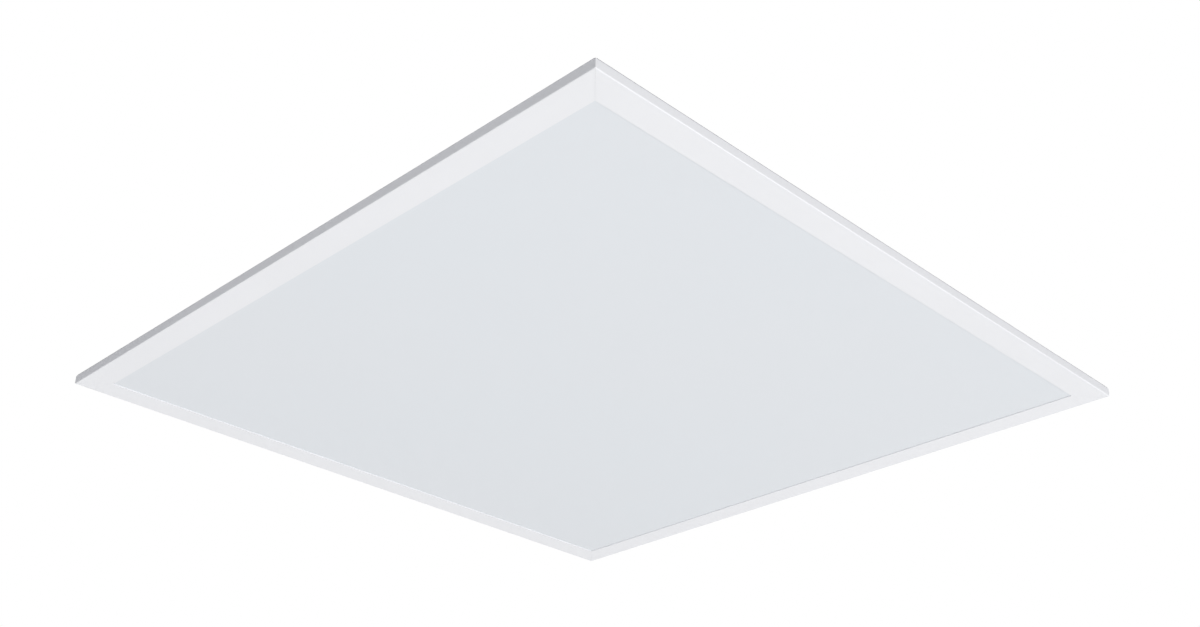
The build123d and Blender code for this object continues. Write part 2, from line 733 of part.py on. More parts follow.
terminal_height = 11.0
terminal_x0, terminal_x1 = 66.5, 81.5  # near and far faces from the driver's middle
terminal_x = (terminal_x0 + terminal_x1) / 2
terminal_top = board_top + terminal_height
pole_pitch = 7.5
button_x, button_length, button_width, button_depth = 72.5, 5.0, 4.0, 5.5
button_proud, button_play, button_travel = 1.8, 0.15, 1.2
button_bottom = terminal_top + button_proud - button_depth
spring_top = button_bottom - button_travel - 0.2
conductor_level = cable_level


def terminal(side, poles, middle):
    """Push-in terminal block; poles are spread about its middle."""
    with BuildPart(driver_plane) as block:
        with BuildSketch(driver_plane.offset(board_top)):
            with Locations((side * terminal_x, middle)):
                Rectangle(terminal_x1 - terminal_x0, pole_pitch * len(poles) + 1.0)
        extrude(amount=terminal_height)
        chamfer(block.faces().sort_by(Axis.Z)[-1].edges(), 0.5)
        for y in poles:
            # well for the release button, over the spring's chamber
            with BuildSketch(driver_plane.offset(terminal_top)):
                with Locations((side * button_x, y)):
                    Rectangle(button_length + 2 * button_play, button_width + 2 * button_play)
            extrude(amount=-(terminal_top - board_top - 1.2), mode=Mode.SUBTRACT)
            # funnel for the conductor in the outer face
            mouth = (side * terminal_x1, driver_y + y, cover_top + conductor_level)
            with BuildSketch(Plane(mouth, x_dir=(0, 1, 0), z_dir=(-side, 0, 0))):
                Circle(1.9)
            extrude(amount=7.0, mode=Mode.SUBTRACT)
    return block


mains_poles = {"live_button": pole_pitch, "earth_button": 0.0, "neutral_button": -pole_pitch}
lead_middle = 0.0
lead_poles = {
    "positive_button": lead_middle + pole_pitch / 2,
    "negative_button": lead_middle - pole_pitch / 2,
}
save(terminal(-1, list(mains_poles.values()), 0.0), "mains_terminal")
save(terminal(1, list(lead_poles.values()), lead_middle), "led_terminal")

for side, poles in ((-1, mains_poles), (1, lead_poles)):
    for name, y in poles.items():
        with BuildPart(driver_plane) as button:
            with BuildSketch(driver_plane.offset(button_bottom)):
                with Locations((side * button_x, y)):
                    Rectangle(button_length, button_width)
            extrude(amount=button_depth)
            fillet(button.faces().sort_by(Axis.Z)[-1].edges(), 0.5)
            with Locations((side * button_x, y, terminal_top + button_proud)):
                Box(3.0, 0.8, 1.0, mode=Mode.SUBTRACT)
        save(button, name)

# each pole holds its conductor with a bent leaf, below the button's travel
leaf = 0.35
leaf_floor = board_top + 1.2 + leaf / 2
with BuildPart() as terminal_springs:
    for side, poles in ((-1, mains_poles), (1, lead_poles)):
        for y in poles.values():
            start = Plane((0, driver_y + y + 1.6, cover_top), x_dir=(1, 0, 0), z_dir=(0, -1, 0))
            with BuildSketch(start):
                with BuildLine() as bend:
                    inner_x, outer_x = side * (button_x - 1.9), side * (button_x + 2.0)
                    low = Line((outer_x, leaf_floor), (inner_x, leaf_floor))
                    rise = spring_top - leaf / 2 - leaf_floor
                    turn_arc = ThreePointArc(
                        low @ 1,
                        (inner_x - side * 0.4, leaf_floor + rise / 2),
                        (inner_x + side * 0.4, leaf_floor + rise),
                    )
                    Line(turn_arc @ 1, (outer_x - side * 0.6, leaf_floor + rise * 0.55))
                trace(line_width=leaf)
            extrude(amount=3.2)
save(terminal_springs, "terminal_springs")

# four-way switch that sets the output current
switch_x, switch_y = 73.0, 15.0
switch_length, switch_width, switch_height = 10.8, 6.2, 3.6
slider_pitch, slider_size, slider_travel, slider_depth = 2.54, 1.3, 1.6, 1.2
slot_play = 0.1
switch_top = board_top + switch_height
with BuildPart(driver_plane) as dip_switch:
    with BuildSketch(driver_plane.offset(board_top)):
        with Locations((switch_x, switch_y)):
            Rectangle(switch_length, switch_width)
    extrude(amount=switch_height)
    chamfer(dip_switch.faces().sort_by(Axis.Z)[-1].edges(), 0.25)
    with BuildSketch(driver_plane.offset(switch_top)):
        with Locations((switch_x, switch_y)):
            with GridLocations(slider_pitch, 1, 4, 1):
                Rectangle(slider_size + 2 * slot_play, slider_size + slider_travel + 2 * slot_play)
    extrude(amount=-slider_depth, mode=Mode.SUBTRACT)
save(dip_switch, "dip_switch")

for number in range(4):
    with BuildPart(driver_plane) as slider:
        x = switch_x + (number - 1.5) * slider_pitch
        with Locations((x, switch_y - slider_travel / 2, switch_top - slider_depth)):
            Box(slider_size, slider_size, slider_depth + 0.9, align=standing)
        chamfer(slider.faces().sort_by(Axis.Z)[-1].edges(), 0.2)
    save(slider, f"dip_slider_{number + 1}")

conductor_radius = 0.8
# the lead's two conductors, from the end of its sheath into the terminal
with BuildPart() as lead_conductors:
    for start_y, end_y in zip((1.1, -1.1), lead_poles.values()):
        with BuildLine() as core:
            FilletPolyline(
                (lead_stop, driver_y + start_y, cover_top + cable_level),
                (lead_stop - 1.2, driver_y + start_y, cover_top + cable_level),
                (terminal_x1 + 0.6, driver_y + end_y, cover_top + conductor_level),
                (terminal_x1 - 6.2, driver_y + end_y, cover_top + conductor_level),
                radius=1.4,
            )
        with BuildSketch(Plane(origin=core.line @ 0, z_dir=core.line % 0)):
            Circle(conductor_radius)
        sweep()
save(lead_conductors, "lead_conductors")

core_x, core_y = 18.0, -4.0
core_length, core_width, core_height = 25.0, 20.0, 15.0
with BuildPart(driver_plane) as transformer_core:
    with Locations((core_x, core_y, board_top + 1.5)):
        Box(core_length, 7.0, core_height, align=standing)
        with Locations((0, 0, 3.0)):
            Box(core_length - 7.0, 8.0, core_height - 6.0, align=standing, mode=Mode.SUBTRACT)
    with Locations((core_x, core_y, board_top + 1.5)):
        Box(6.5, 7.0, core_height, align=standing)
save(transformer_core, "transformer_core")

with BuildPart(driver_plane) as transformer_winding:
    winding_z = board_top + 1.5 + 3.1
    with Locations((core_x, core_y, winding_z)):
        Box(core_length - 7.4, core_width, core_height - 6.2, align=standing)
    fillet(transformer_winding.edges().filter_by(Axis.Z), 3.0)
    with Locations((core_x, core_y, winding_z)):
        Box(6.7, 7.2, core_height, align=standing, mode=Mode.SUBTRACT)
save(transformer_winding, "transformer_winding")

with BuildPart(driver_plane) as line_choke:
    with Locations(Location((-40.0, -8.0, board_top + 8.2), (90, 0, 0))):
        Torus(5.2, 2.9)
save(line_choke, "line_choke")

with BuildPart(driver_plane) as film_capacitor:
    with Locations((-42.0, 11.0, board_top)):
        Box(16.0, 7.0, 13.0, align=standing)
    fillet(film_capacitor.edges().filter_by(Axis.Z), 0.8)
save(film_capacitor, "film_capacitor")

with BuildPart(driver_plane) as rectifier:
    with Locations((-22.0, 13.5, board_top + 2.0)):
        Box(14.0, 3.6, 10.0, align=standing)
    with Locations((-22.0, 13.5, board_top)):
        with GridLocations(3.8, 1, 4, 1):
            Box(0.9, 0.7, 2.0, align=standing)
save(rectifier, "rectifier")


def can_capacitors(places, radius, height):
    """Upright electrolytic capacitors with a crimped neck near the foot."""
    with BuildPart(driver_plane) as cans:
        with Locations(*[(x, y, board_top) for x, y in places]):
            Cylinder(radius, height, align=standing)
        fillet(cans.edges().filter_by(GeomType.CIRCLE).group_by(Axis.Z)[-1], 0.8)
        with Locations(*[(x, y, board_top + 2.2) for x, y in places]):
            Torus(radius + 0.35, 0.8, mode=Mode.SUBTRACT)
    return cans


save(can_capacitors([(-14.0, -8.0)], 8.0, 18.0), "bulk_capacitor")
save(can_capacitors([(42.0, 8.0), (42.0, -6.0)], 5.2, 16.5), "output_capacitors")

with BuildPart(driver_plane) as heat_sink:
    with Locations((8.0, 15.0, board_top)):
        Box(30.0, 2.0, 16.0, align=standing)
    with Locations((8.0, 17.5, board_top + 14.0)):
        Box(30.0, 5.0, 2.0, align=standing)
save(heat_sink, "heat_sink")

with BuildPart(driver_plane) as power_transistor:
    with Locations((4.0, 12.9, board_top + 3.0)):
        Box(10.0, 2.2, 9.0, align=standing)
    with Locations((4.0, 12.9, board_top)):
        with GridLocations(2.54, 1, 3, 1):
            Box(0.8, 0.6, 3.0, align=standing)
save(power_transistor, "power_transistor")
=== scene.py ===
import math

import bmesh
import bpy
from mathutils import Matrix, Vector


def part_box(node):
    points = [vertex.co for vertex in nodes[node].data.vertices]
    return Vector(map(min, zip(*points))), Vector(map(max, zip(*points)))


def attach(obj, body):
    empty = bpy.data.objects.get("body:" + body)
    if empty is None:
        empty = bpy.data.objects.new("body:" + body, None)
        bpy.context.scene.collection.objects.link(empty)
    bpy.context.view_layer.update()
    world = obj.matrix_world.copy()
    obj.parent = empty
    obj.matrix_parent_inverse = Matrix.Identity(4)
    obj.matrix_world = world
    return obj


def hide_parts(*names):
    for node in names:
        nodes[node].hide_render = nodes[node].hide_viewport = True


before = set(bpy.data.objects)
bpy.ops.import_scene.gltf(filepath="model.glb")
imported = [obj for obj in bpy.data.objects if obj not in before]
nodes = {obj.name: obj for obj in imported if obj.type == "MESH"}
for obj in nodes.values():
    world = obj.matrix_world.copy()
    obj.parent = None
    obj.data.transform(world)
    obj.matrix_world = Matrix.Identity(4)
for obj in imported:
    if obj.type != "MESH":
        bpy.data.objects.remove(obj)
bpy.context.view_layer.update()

# lit face down at z = 0, driver on the back, all in metres
slotNames = {place.material.name for piece in nodes.values() for place in piece.material_slots}
print("panel loaded:", len(nodes), "pieces")


def addNode(tree, kind, **values):
    node = tree.nodes.new(kind)
    for key, value in values.items():
        setattr(node, key, value)
    return node


def setInputs(node, **values):
    for key, value in values.items():
        node.inputs[key].default_value = value
    return node


def join(tree, output, target):
    tree.links.new(output, target)


# a socket takes either a plain value or another node's output
def feed(tree, socket, value):
    if isinstance(value, (int, float)):
        socket.default_value = value
    elif isinstance(value, tuple):
        socket.default_value = (*value, 1.0) if socket.type == "RGBA" else value
    elif value is not None:
        join(tree, value, socket)


def mathNode(tree, operation, a, b=None, clamp=False):
    node = addNode(tree, "ShaderNodeMath", operation=operation, use_clamp=clamp)
    feed(tree, node.inputs[0], a)
    feed(tree, node.inputs[1], b)
    return node.outputs[0]


def plus(tree, a, b, clamp=False):
    return mathNode(tree, "ADD", a, b, clamp)


def times(tree, a, b, clamp=False):
    return mathNode(tree, "MULTIPLY", a, b, clamp)


def vectorMath(tree, operation, a, b):
    node = addNode(tree, "ShaderNodeVectorMath", operation=operation)
    join(tree, a, node.inputs[0])
    feed(tree, node.inputs["Scale"] if operation == "SCALE" else node.inputs[1], b)
    return node.outputs[0]


def mixColours(tree, factor, a, b):
    node = addNode(tree, "ShaderNodeMix", data_type="RGBA")
    # the colour sockets of this node are numbers 6 and 7
    for index, value in ((0, factor), (6, a), (7, b)):
        feed(tree, node.inputs[index], value)
    return node.outputs[2]


def spread(tree, value, low, high, fromLow=0.0, fromHigh=1.0):
    node = addNode(tree, "ShaderNodeMapRange", clamp=True)
    setInputs(node, **{"From Min": fromLow, "From Max": fromHigh, "To Min": low, "To Max": high})
    join(tree, value, node.inputs["Value"])
    return node.outputs["Result"]


def splitAxes(tree, vector):
    axes = addNode(tree, "ShaderNodeSeparateXYZ")
    join(tree, vector, axes.inputs["Vector"])
    return axes.outputs


def makeGroup(name, inputs, outputs):
    group = bpy.data.node_groups.new(name, "ShaderNodeTree")
    for label, kind, value in inputs:
        socket = group.interface.new_socket(label, in_out="INPUT", socket_type=kind)
        if value is not None:
            socket.default_value = value
    for label in outputs:
        group.interface.new_socket(label, in_out="OUTPUT", socket_type="NodeSocketFloat")
    return group, group.nodes.new("NodeGroupInput"), group.nodes.new("NodeGroupOutput")


# effects shared by several finishes
def buildGrain():
    inputs = [
        ("Vector", "NodeSocketVector", None),
        ("Scale", "NodeSocketFloat", 1500.0),
        ("Patch Scale", "NodeSocketFloat", 12.0),
    ]
    group, source, result = makeGroup("fineGrain", inputs, ["Grain", "Patches"])
    fine = setInputs(addNode(group, "ShaderNodeTexNoise"), Detail=3.0, Roughness=0.6)
    broad = setInputs(addNode(group, "ShaderNodeTexNoise"), Detail=4.0, Roughness=0.55)
    for noise, scale in ((fine, "Scale"), (broad, "Patch Scale")):
        join(group, source.outputs["Vector"], noise.inputs["Vector"])
        join(group, source.outputs[scale], noise.inputs["Scale"])
    join(group, fine.outputs["Fac"], result.inputs["Grain"])
    join(group, broad.outputs["Fac"], result.inputs["Patches"])
    return group


# the corner terms paint shade from ambient occlusion; the clump terms are dust on upward faces
dustAndShadeLook = {
    "cornerShadeEdges": (0.45, 0.95), "cornerShadeWeight": 0.65, "samples": 6,
    "upEdges": (0.3, 1.0), "lyingWeight": 0.35,
    "clumps": {"Scale": 260.0, "Detail": 6.0, "Roughness": 0.7}, "clumpEdges": (0.42, 0.7),
}


# painted shade darkens corners and recesses by ambient occlusion; dust lies in clumps on faces that look
# up while the caps are shut
def buildDust(look):
    inputs = [
        ("Vector", "NodeSocketVector", None),
        ("Amount", "NodeSocketFloat", 0.3),
        ("Reach", "NodeSocketFloat", 0.004),
    ]
    group, source, result = makeGroup("settledDust", inputs, ["Dust"])
    hollow = addNode(group, "ShaderNodeAmbientOcclusion", samples=look["samples"])
    join(group, source.outputs["Reach"], hollow.inputs["Distance"])
    # painted shade: occluded corners and recesses take the darker tint
    corner = spread(group, hollow.outputs["AO"], 1.0, 0.0, *look["cornerShadeEdges"])
    normal = splitAxes(group, addNode(group, "ShaderNodeTexCoord").outputs["Normal"])
    upward = spread(group, normal["Z"], 0.0, 1.0, *look["upEdges"])
    clumps = setInputs(addNode(group, "ShaderNodeTexNoise"), **look["clumps"])
    join(group, source.outputs["Vector"], clumps.inputs["Vector"])
    drift = spread(group, clumps.outputs["Fac"], 0.0, 1.0, *look["clumpEdges"])
    lying = times(group, times(group, upward, drift), look["lyingWeight"])
    total = plus(group, times(group, corner, look["cornerShadeWeight"]), lying)
    join(group, times(group, total, source.outputs["Amount"], clamp=True), result.inputs["Dust"])
    return group


# fine lines along one axis; Stretch holds the three scales
def buildBrush():
    inputs = [
        ("Vector", "NodeSocketVector", None),
        ("Stretch", "NodeSocketVector", (20.0, 900.0, 900.0)),
    ]
    group, source, result = makeGroup("brushLines", inputs, ["Lines", "Scratches"])
    scaled = vectorMath(group, "MULTIPLY", source.outputs["Vector"], source.outputs["Stretch"])
    lines = setInputs(addNode(group, "ShaderNodeTexNoise"), Scale=1.0, Detail=4.0, Roughness=0.65)
    rare = setInputs(addNode(group, "ShaderNodeTexNoise"), Scale=0.35, Detail=2.0, Roughness=0.4)
    join(group, scaled, lines.inputs["Vector"])
    join(group, scaled, rare.inputs["Vector"])
    join(group, lines.outputs["Fac"], result.inputs["Lines"])
    join(group, spread(group, rare.outputs["Fac"], 0.0, 1.0, 0.68, 0.74), result.inputs["Scratches"])
    return group


grainGroup = buildGrain()
dustAndShadeGroup = buildDust(dustAndShadeLook)
brushGroup = buildBrush()
print("shared effects built")

# tints for dust and for painted corner shade: warmer on pale plastic and darker on metal and boards
dustAndShadeTints = {
    "plastic": (0.42, 0.40, 0.37), "metal": (0.35, 0.33, 0.30),
    "board": (0.4, 0.38, 0.35), "sheet": (0.45, 0.43, 0.40),
}
boardDust = {"Amount": 0.2, "Reach": 0.002}
patchEdges = (0.3, 0.7)  # band of the noise that the patches are cut from


def placeGroup(tree, group, vector, **values):
    node = addNode(tree, "ShaderNodeGroup", node_tree=group)
    join(tree, vector, node.inputs["Vector"])
    return setInputs(node, **values)


def placeGrain(tree, coords, scale, patchScale):
    return placeGroup(tree, grainGroup, coords, **{"Scale": scale, "Patch Scale": patchScale})


def startFinish(name):
    material = bpy.data.materials.new(name)
    material.use_nodes = True
    tree = material.node_tree
    shader = tree.nodes["Principled BSDF"]
    coords = addNode(tree, "ShaderNodeTexCoord").outputs["Object"]
    return material, tree, shader, coords


def bumpFrom(tree, shader, height, depth):
    bump = setInputs(addNode(tree, "ShaderNodeBump"), Strength=1.0, Distance=depth)
    join(tree, height, bump.inputs["Height"])
    join(tree, bump.outputs["Normal"], shader.inputs["Normal"])


def dress(material, *names):
    for name in names:
        for place in nodes[name].material_slots:
            place.material = material


def pieceFrom(name, shape, *materials):
    mesh = bpy.data.meshes.new(name)
    shape.to_mesh(mesh)
    shape.free()
    for material in materials:
        mesh.materials.append(material)
    piece = bpy.data.objects.new(name, mesh)
    bpy.context.scene.collection.objects.link(piece)
    return piece


# Moulded, painted and rubbery surfaces: a fine grain for the bump, broad patches for colour
# and gloss, painted shade in the corners and dust on faces that look up.
def coatedFinish(name, look):
    material, tree, shader, coords = startFinish(name)
    grain = placeGrain(tree, coords, look["grainScale"], look["patchScale"])
    reach = look.get("cornerShadeReach", 0.003)
    dustAndShade = placeGroup(tree, dustAndShadeGroup, coords, Amount=look["dustAndShade"], Reach=reach).outputs["Dust"]
    shade = spread(tree, grain.outputs["Patches"], 0.0, 1.0, *patchEdges)
    base = mixColours(tree, shade, look["colour"], look["patchColour"])
    # painted shade in occluded corners and dust on upward faces darken the base colour
    join(tree, mixColours(tree, dustAndShade, base, dustAndShadeTints["plastic"]), shader.inputs["Base Color"])
    gloss = spread(tree, grain.outputs["Patches"], *look["roughness"], *patchEdges)
    join(tree, plus(tree, gloss, times(tree, dustAndShade, 0.3), clamp=True), shader.inputs["Roughness"])
    bumpFrom(tree, shader, grain.outputs["Grain"], look["grainDepth"])
    setInputs(shader, **look.get("shader", {}))
    return material


# bare or plated metal: fine lines in the gloss, faint scratches, tarnish in patches
def metalFinish(name, look):
    material, tree, shader, coords = startFinish(name)
    grain = placeGrain(tree, coords, look["grainScale"], look["patchScale"])
    brush = placeGroup(tree, brushGroup, coords, Stretch=look["stretch"])
    dustAndShade = placeGroup(tree, dustAndShadeGroup, coords, Amount=look["dustAndShade"], Reach=0.002)
    tarnish = spread(tree, grain.outputs["Patches"], 0.0, 1.0, 0.35, 0.65)
    base = mixColours(tree, tarnish, look["colour"], look["patchColour"])
    scratches = times(tree, brush.outputs["Scratches"], 0.35)
    scratched = mixColours(tree, scratches, base, look["scratchColour"])
    # painted shade in occluded corners and dust on upward faces darken the metal's colour
    dusty = mixColours(tree, dustAndShade.outputs["Dust"], scratched, dustAndShadeTints["metal"])
    join(tree, dusty, shader.inputs["Base Color"])
    gloss = spread(tree, brush.outputs["Lines"], *look["roughness"], *patchEdges)
    join(tree, gloss, shader.inputs["Roughness"])
    height = plus(tree, brush.outputs["Lines"], times(tree, grain.outputs["Grain"], 0.6))
    bumpFrom(tree, shader, height, look["grainDepth"])
    setInputs(shader, Metallic=1.0)
    return material


# frame: fine white powder coat
frameCoat = {
    "colour": (0.80, 0.806, 0.832), "patchColour": (0.785, 0.792, 0.817),
    "roughness": (0.50, 0.60), "grainScale": 1100.0, "grainDepth": 0.000012,
    "patchScale": 9.0, "dustAndShade": 0.05, "shader": {"Specular IOR Level": 0.25},
}
powderCoat = coatedFinish("powderCoatWhite", frameCoat)
dress(powderCoat, "frame_front", "frame_right", "frame_rear", "frame_left")

# opal diffuser plate
diffuserSheet = {
    "colour": (0.708, 0.738, 0.774), "patchColour": (0.714, 0.736, 0.768),
    "roughness": (0.36, 0.44), "grainScale": 2600.0, "grainDepth": 0.000006,
    "patchScale": 3.0, "dustAndShade": 0.03, "cornerShadeReach": 0.006, "shader": {"Specular IOR Level": 0.35},
}
opalPlate = coatedFinish("opalPlate", diffuserSheet)
dress(opalPlate, "diffuser_plate")
print("face dressed")

# sheet steel cover with a zinc spangle
coverSteel = {
    "crystalScale": 120.0, "wobble": 0.006, "streaks": (60.0, 900.0, 900.0),
    "dark": (0.47, 0.48, 0.50), "light": (0.57, 0.575, 0.59),
    "roughness": (0.36, 0.54), "tilt": 0.00006, "dustAndShade": 0.30,
    "toneWeight": 0.55, "streakWeight": 0.45, "dulling": 0.4, "dome": 1.2, "furrow": 0.6,
}


def zincSpangle(name, look):
    material, tree, shader, coords = startFinish(name)
    wander = setInputs(addNode(tree, "ShaderNodeTexNoise"), Scale=90.0, Detail=5.0, Roughness=0.6)
    join(tree, coords, wander.inputs["Vector"])
    centred = vectorMath(tree, "SUBTRACT", wander.outputs["Color"], (0.5, 0.5, 0.5))
    placed = vectorMath(tree, "ADD", coords, vectorMath(tree, "SCALE", centred, look["wobble"]))
    crystals = addNode(tree, "ShaderNodeTexVoronoi", feature="F1")
    setInputs(crystals, Scale=look["crystalScale"])
    join(tree, placed, crystals.inputs["Vector"])
    tone = addNode(tree, "ShaderNodeSeparateColor")
    join(tree, crystals.outputs["Color"], tone.inputs[0])
    # each crystal's streaks run its own way
    turn = addNode(tree, "ShaderNodeVectorRotate", rotation_type="Z_AXIS")
    join(tree, coords, turn.inputs["Vector"])
    join(tree, spread(tree, tone.outputs[2], 0.0, math.pi), turn.inputs["Angle"])
    streaks = setInputs(addNode(tree, "ShaderNodeTexNoise"), Scale=1.0, Detail=4.0, Roughness=0.7)
    stretched = vectorMath(tree, "MULTIPLY", turn.outputs[0], look["streaks"])
    join(tree, stretched, streaks.inputs["Vector"])
    streak = streaks.outputs["Fac"]
    mixed = plus(
        tree,
        times(tree, tone.outputs[0], look["toneWeight"]),
        times(tree, streak, look["streakWeight"]),
    )
    base = mixColours(tree, mixed, look["dark"], look["light"])
    # painted shade in occluded corners and dust on upward faces darken, dull and demetallise the sheet
    dustAndShade = placeGroup(tree, dustAndShadeGroup, coords, Amount=look["dustAndShade"], Reach=0.004).outputs["Dust"]
    join(tree, mixColours(tree, dustAndShade, base, dustAndShadeTints["sheet"]), shader.inputs["Base Color"])
    mean = times(tree, plus(tree, tone.outputs[1], streak), 0.5)
    gloss = spread(tree, mean, *look["roughness"])
    dull = times(tree, dustAndShade, look["dulling"])
    join(tree, plus(tree, gloss, dull, clamp=True), shader.inputs["Roughness"])
    join(tree, spread(tree, dustAndShade, 0.95, 0.2), shader.inputs["Metallic"])
    slope = plus(
        tree,
        times(tree, crystals.outputs["Distance"], look["dome"]),
        times(tree, streak, look["furrow"]),
    )
    bumpFrom(tree, shader, slope, look["tilt"])
    return material


galvanised = zincSpangle("galvanisedSheet", coverSteel)
dress(galvanised, "back_cover")

# plated screws, studs and pins
screwPlate = {
    "colour": (0.62, 0.62, 0.63), "patchColour": (0.55, 0.56, 0.60), "scratchColour": (0.8, 0.8, 0.8),
    "roughness": (0.22, 0.38), "grainScale": 4000.0, "grainDepth": 0.000008, "patchScale": 400.0,
    "stretch": (900.0, 900.0, 2500.0), "dustAndShade": 0.25,
}
zincPlate = metalFinish("zincPlate", screwPlate)
dress(zincPlate, "cover_screws", "lid_screws", "clamp_screws", "mounting_studs", "stud_nuts")
dress(zincPlate, "mains_cap_pin", "led_cap_pin")

keySteel = dict(
    screwPlate, colour=(0.45, 0.44, 0.43), patchColour=(0.38, 0.37, 0.36),
    roughness=(0.35, 0.55), stretch=(40.0, 1200.0, 1200.0),
)
dress(metalFinish("stampedSteel", keySteel), "corner_keys")

springStrip = dict(
    screwPlate, colour=(0.78, 0.55, 0.22), patchColour=(0.66, 0.42, 0.16),
    roughness=(0.2, 0.34), dustAndShade=0.1,
)
dress(metalFinish("springBrass", springStrip), "terminal_springs")

sinkMetal = dict(
    screwPlate, colour=(0.74, 0.75, 0.76), patchColour=(0.70, 0.71, 0.73),
    roughness=(0.28, 0.5), stretch=(30.0, 1500.0, 1500.0),
)
dress(metalFinish("millAluminium", sinkMetal), "heat_sink")

# threaded studs under the driver's ears; flank shapes the thread's profile
studThread = {
    "crest": 0.002, "pitch": 0.0007, "depth": 0.00038, "lead": 0.0005,
    "around": 40, "perTurn": 10, "flank": (1.3, 0.1),
}


def threadedStuds(look):
    low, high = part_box("mounting_studs")
    crest, around = look["crest"], look["around"]
    steep, flat = look["flank"]
    rings = round((high.z - low.z) / look["pitch"] * look["perTurn"])
    shape = bmesh.new()
    for x, y in ((low.x + crest, high.y - crest), (high.x - crest, low.y + crest)):
        rows = []
        for ring in range(rings + 1):
            z = low.z + (high.z - low.z) * ring / rings
            row = []
            for step in range(around):
                phase = (z / look["pitch"] - step / around) % 1.0
                cut = min(max(abs(2 * phase - 1) * steep - flat, 0.0), 1.0)
                taper = max(0.0, z - (high.z - look["lead"]))
                radius = crest - max(look["depth"] * cut, taper)
                angle = 2 * math.pi * step / around
                place = (x + radius * math.cos(angle), y + radius * math.sin(angle), z)
                row.append(shape.verts.new(place))
            rows.append(row)
        for lower, upper in zip(rows, rows[1:]):
            for step in range(around):
                after = (step + 1) % around
                shape.faces.new((lower[step], lower[after], upper[after], upper[step]))
        shape.faces.new(rows[-1])
        shape.faces.new(rows[0][::-1])
    piece = pieceFrom("threadedStuds", shape, zincPlate)
    for face in piece.data.polygons:
        face.use_smooth = len(face.vertices) == 4
    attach(piece, "panel")
    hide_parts("mounting_studs")


threadedStuds(studThread)
print("cover and fixings dressed")

# driver case and the other white mouldings
caseMoulding = {
    "colour": (0.66, 0.665, 0.655), "patchColour": (0.63, 0.635, 0.62),
    "roughness": (0.42, 0.54), "grainScale": 2600.0, "grainDepth": 0.00004,
    "patchScale": 30.0, "dustAndShade": 0.30,
}
basePlastic = coatedFinish("driverCasePlastic", caseMoulding)
dress(basePlastic, "driver_base", "lead_outlet", "lead_saddle", "mains_cable_clamp", "lead_clamp")

lidMoulding = dict(
    caseMoulding, colour=(0.69, 0.695, 0.685), patchColour=(0.665, 0.67, 0.655),
    roughness=(0.36, 0.48),
)
dress(coatedFinish("driverLidPlastic", lidMoulding), "driver_lid", "mains_cap", "led_cap")

terminalMoulding = dict(
    caseMoulding, colour=(0.30, 0.32, 0.33), patchColour=(0.27, 0.29, 0.30),
    roughness=(0.3, 0.42), grainScale=3600.0,
)
dress(coatedFinish("terminalPlastic", terminalMoulding), "mains_terminal", "led_terminal")

buttonMoulding = dict(
    caseMoulding, colour=(0.72, 0.19, 0.02), patchColour=(0.66, 0.165, 0.018),
    roughness=(0.28, 0.4), dustAndShade=0.15,
)
buttonPlastic = coatedFinish("buttonPlastic", buttonMoulding)
dress(buttonPlastic, "live_button", "neutral_button", "earth_button")
dress(buttonPlastic, "positive_button", "negative_button")

switchMoulding = dict(
    caseMoulding, colour=(0.45, 0.02, 0.018), patchColour=(0.38, 0.016, 0.015),
    roughness=(0.2, 0.32), dustAndShade=0.15,
)
dress(coatedFinish("switchPlastic", switchMoulding), "dip_switch")

sliderMoulding = dict(
    caseMoulding, colour=(0.82, 0.82, 0.79), patchColour=(0.78, 0.78, 0.75),
    roughness=(0.25, 0.35), dustAndShade=0.1,
)
sliderPlastic = coatedFinish("sliderPlastic", sliderMoulding)
dress(sliderPlastic, "dip_slider_1", "dip_slider_2", "dip_slider_3", "dip_slider_4")

# lead, wires and soft parts
leadSheath = dict(
    caseMoulding, colour=(0.66, 0.66, 0.65), patchColour=(0.63, 0.63, 0.615),
    roughness=(0.45, 0.6), grainScale=1800.0, grainDepth=0.00004,
)
dress(coatedFinish("sheathVinyl", leadSheath), "dc_lead")

wireColours = {
    "positive_wire": ((0.50, 0.012, 0.01), (0.42, 0.01, 0.008)),
    "negative_wire": ((0.012, 0.012, 0.014), (0.02, 0.02, 0.02)),
    "jumper_wire": ((0.72, 0.72, 0.70), (0.66, 0.66, 0.64)),
}
for name, (colour, patchColour) in wireColours.items():
    wireCoat = dict(leadSheath, colour=colour, patchColour=patchColour, roughness=(0.35, 0.5), dustAndShade=0.1)
    dress(coatedFinish(name.split("_")[0] + "Vinyl", wireCoat), name)

padRubber = dict(
    leadSheath, colour=(0.62, 0.62, 0.60), patchColour=(0.58, 0.58, 0.56),
    roughness=(0.5, 0.65), dustAndShade=0.2,
)
dress(coatedFinish("padSilicone", padRubber), "guide_pads")

tapeFilm = dict(
    leadSheath, colour=(0.17, 0.18, 0.19), patchColour=(0.14, 0.15, 0.16),
    roughness=(0.55, 0.7), dustAndShade=0.1,
)
dress(coatedFinish("thermalTape", tapeFilm), "thermal_tapes")

foamSheet = dict(
    leadSheath, colour=(0.74, 0.74, 0.72), patchColour=(0.68, 0.68, 0.66),
    roughness=(0.8, 0.95), grainScale=900.0, grainDepth=0.0003, dustAndShade=0.1,
)
dress(coatedFinish("foamCells", foamSheet), "foam_sheet")

reflectorFilm = dict(
    diffuserSheet, colour=(0.88, 0.88, 0.87), patchColour=(0.86, 0.86, 0.85),
    roughness=(0.25, 0.34),
)
dress(coatedFinish("reflectorFilm", reflectorFilm), "reflector_sheet")
print("driver case, lead and soft parts dressed")

